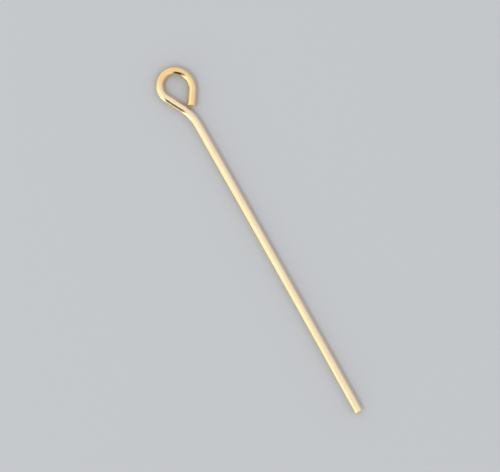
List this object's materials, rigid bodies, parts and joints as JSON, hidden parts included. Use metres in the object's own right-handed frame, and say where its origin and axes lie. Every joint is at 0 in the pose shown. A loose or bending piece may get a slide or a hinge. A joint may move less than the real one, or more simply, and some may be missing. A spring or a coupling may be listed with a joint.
{
  "type": "eye pin",
  "caption": "Bare wire pin with a straight shank, a cranked neck and one end curled into a small round eye, used to link or hang beads and charms.",
  "frame": {"origin": "centre of the shank's square-cut face, on the wire's centre line", "axes": "+X along the shank from its cut face towards the eye, +Y towards the side that the neck cranks to, +Z square to the plane of the eye. The pin lies flat, so its lowest points are half a wire diameter, 0.35 mm, below Z = 0"},
  "size_m": [0.03, 0.0031, 0.0006],
  "materials": {
    "plated_wire": "bright pale-gold plating over drawn wire"
  },
  "bodies": {
    "root": {"eye_pin_wire": "plated_wire"}
  },
  "joints": []
}
